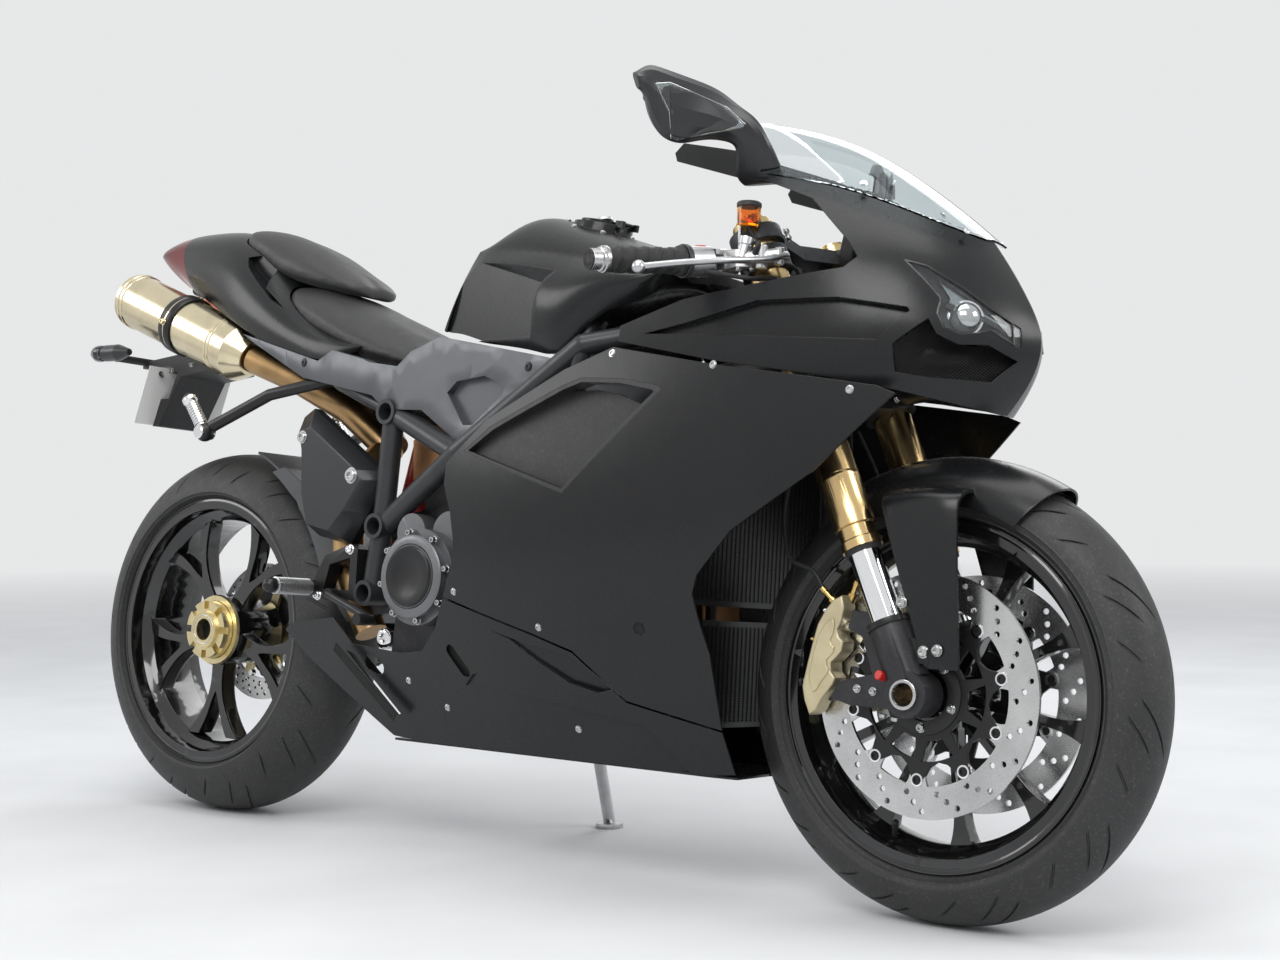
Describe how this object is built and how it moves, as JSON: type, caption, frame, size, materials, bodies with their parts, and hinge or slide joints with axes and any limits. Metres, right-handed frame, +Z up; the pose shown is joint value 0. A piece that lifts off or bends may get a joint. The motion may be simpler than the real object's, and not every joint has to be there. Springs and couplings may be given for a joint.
{
  "type": "sport motorcycle",
  "caption": "Faired sport motorcycle with matt black bodywork, trellis frame, single-sided swingarm and twin underseat silencers, leaning on its side stand",
  "frame": {"origin": "middle of the box round the leaning bike, on the ground", "axes": "+X forward along the bike, +Y to the bike's left, +Z up from the ground; the bike leans 5.35 degrees to +Y"},
  "size_m": [2.0442, 0.7422, 1.1376],
  "materials": {
    "trellis_frame": "satin",
    "engine_block": "cast",
    "engine_covers": "satin",
    "cam_covers": "satin",
    "swingarm": "cast",
    "rear_shock": "gloss",
    "exhaust_pipe": "heat tinted",
    "exhaust_guard": "satin",
    "silencers": "satin",
    "hugger": "satin",
    "rear_caliper": "satin",
    "chain_drive": "oiled",
    "fuel_tank": "matt",
    "rider_seat": "vinyl",
    "tail_fairing": "matt",
    "pillion_cover": "matt",
    "tail_lamp": "clear red",
    "side_covers": "matt",
    "plate_carrier": "satin",
    "number_plate": "plain",
    "rear_indicators": "satin",
    "peg_brackets": "satin",
    "foot_levers": "satin",
    "pillion_footrests": "satin",
    "side_fairing_right": "matt",
    "side_fairing_left": "matt",
    "vent_panels": "satin",
    "belly_pan": "matt",
    "nose_fairing": "matt",
    "windscreen": "clear",
    "headlight_lenses": "clear",
    "mirrors": "satin",
    "nose_carrier": "satin",
    "radiator": "finned",
    "fairing_stays": "satin",
    "stand_bracket": "cast",
    "rear_tyre": "rubber",
    "rear_rim": "gloss",
    "rear_disc": "ground",
    "rear_sprocket": "plain",
    "rear_hub": "anodised",
    "fork_outer_tubes": "anodised",
    "fork_inner_tubes": "polished",
    "fork_feet": "cast",
    "front_calipers": "satin",
    "triple_clamps": "cast",
    "clip_on_bars": "anodised",
    "grips": "plain",
    "bar_controls": "satin",
    "levers": "satin",
    "front_axle": "plain",
    "front_mudguard": "satin",
    "front_tyre": "rubber",
    "front_rim": "gloss",
    "front_disc_right": "ground",
    "front_disc_left": "ground",
    "disc_carriers": "black",
    "side_stand": "plain",
    "fuel_cap": "satin"
  },
  "bodies": {
    "chassis": {"trellis_frame": "trellis_frame", "engine_block": "engine_block", "engine_covers": "engine_covers", "cam_covers": "cam_covers", "swingarm": "swingarm", "rear_shock": "rear_shock", "exhaust_pipe": "exhaust_pipe", "exhaust_guard": "exhaust_guard", "silencers": "silencers", "hugger": "hugger", "rear_caliper": "rear_caliper", "chain_drive": "chain_drive", "fuel_tank": "fuel_tank", "rider_seat": "rider_seat", "tail_fairing": "tail_fairing", "pillion_cover": "pillion_cover", "tail_lamp": "tail_lamp", "side_covers": "side_covers", "plate_carrier": "plate_carrier", "number_plate": "number_plate", "rear_indicators": "rear_indicators", "peg_brackets": "peg_brackets", "foot_levers": "foot_levers", "pillion_footrests": "pillion_footrests", "side_fairing_right": "side_fairing_right", "side_fairing_left": "side_fairing_left", "vent_panels": "vent_panels", "belly_pan": "belly_pan", "nose_fairing": "nose_fairing", "windscreen": "windscreen", "headlight_lenses": "headlight_lenses", "mirrors": "mirrors", "nose_carrier": "nose_carrier", "radiator": "radiator", "fairing_stays": "fairing_stays", "stand_bracket": "stand_bracket"},
    "rear_wheel": {"rear_tyre": "rear_tyre", "rear_rim": "rear_rim", "rear_disc": "rear_disc", "rear_sprocket": "rear_sprocket", "rear_hub": "rear_hub"},
    "steering": {"fork_outer_tubes": "fork_outer_tubes", "fork_inner_tubes": "fork_inner_tubes", "fork_feet": "fork_feet", "front_calipers": "front_calipers", "triple_clamps": "triple_clamps", "clip_on_bars": "clip_on_bars", "grips": "grips", "bar_controls": "bar_controls", "levers": "levers", "front_axle": "front_axle", "front_mudguard": "front_mudguard"},
    "front_wheel": {"front_tyre": "front_tyre", "front_rim": "front_rim", "front_disc_right": "front_disc_right", "front_disc_left": "front_disc_left", "disc_carriers": "disc_carriers"},
    "side_stand": {"side_stand": "side_stand"},
    "fuel_cap": {"fuel_cap": "fuel_cap"}
  },
  "joints": [
    {"name": "steering_head", "type": "hinge", "parent": "chassis", "child": "steering", "pos_m": [0.68974, -0.0524, 0.28408], "axis": [-0.4146, 0.0848, 0.906], "range_deg": [-25, 25]},
    {"name": "front_axle_spin", "type": "hinge", "parent": "steering", "child": "front_wheel", "pos_m": [0.7225, -0.05101, 0.29895], "axis": [0, 0.9956, -0.0932], "continuous": true},
    {"name": "rear_axle_spin", "type": "hinge", "parent": "chassis", "child": "rear_wheel", "pos_m": [-0.7075, -0.0496, 0.31401], "axis": [0, 0.9956, -0.0932], "continuous": true},
    {"name": "side_stand_pivot", "type": "hinge", "parent": "chassis", "child": "side_stand", "pos_m": [-0.00751, 0.0831, 0.20811], "axis": [-0.0012, 0.8995, 0.4369], "range_deg": [0, 65]},
    {"name": "fuel_cap_hinge", "type": "hinge", "parent": "chassis", "child": "fuel_cap", "pos_m": [0.12992, 0.01215, 0.97346], "axis": [0, 0.9956, -0.0932], "range_deg": [0, 95]}
  ]
}
